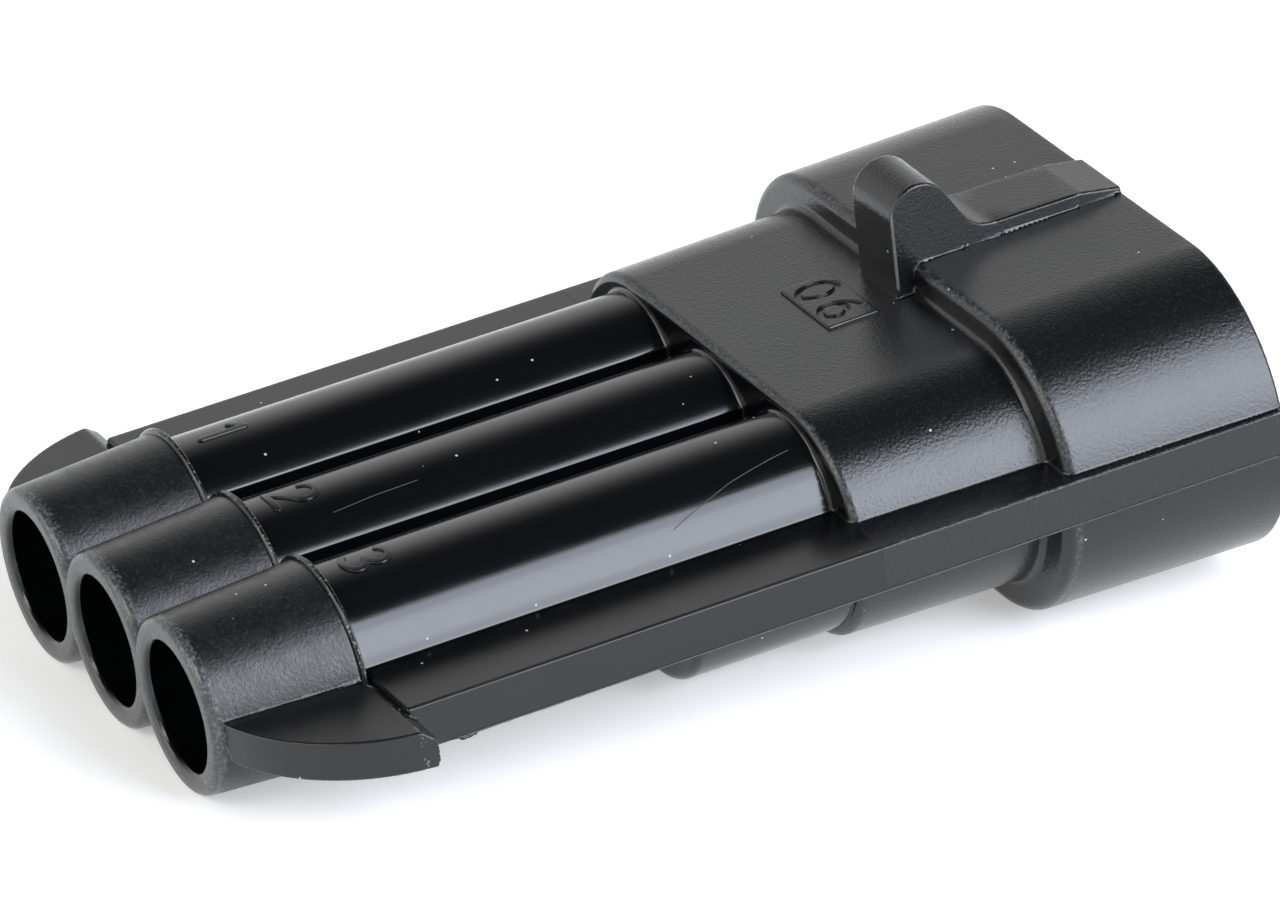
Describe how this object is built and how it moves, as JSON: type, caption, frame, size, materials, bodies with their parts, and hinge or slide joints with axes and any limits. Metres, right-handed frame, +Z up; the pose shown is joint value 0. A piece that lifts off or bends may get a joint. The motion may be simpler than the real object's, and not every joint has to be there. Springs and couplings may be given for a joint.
{
  "type": "sealed in-line wire connector",
  "caption": "Shroud half of an in-line sealed automotive connector: cable tubes at the rear, oblong shroud with lock nib in front, side rails and clip wings, with pins and seals inside.",
  "frame": {"origin": "on the middle cavity's axis, in the plane of the cable mouths", "axes": "+X across the cavities, +Y along them in the mating direction, out of the shroud, +Z up towards the lock nib"},
  "size_m": [0.0306, 0.0445, 0.0159],
  "materials": {
    "housing": "black nylon, fine spark texture on the block, shroud and tube ends, polished tubes",
    "contact": "tin plate",
    "seal": "silicone, matt"
  },
  "bodies": {
    "root": {"housing": "housing", "contact_1": "contact", "contact_2": "contact", "contact_3": "contact", "cable_seal_1": "seal", "cable_seal_2": "seal", "cable_seal_3": "seal"}
  },
  "joints": []
}
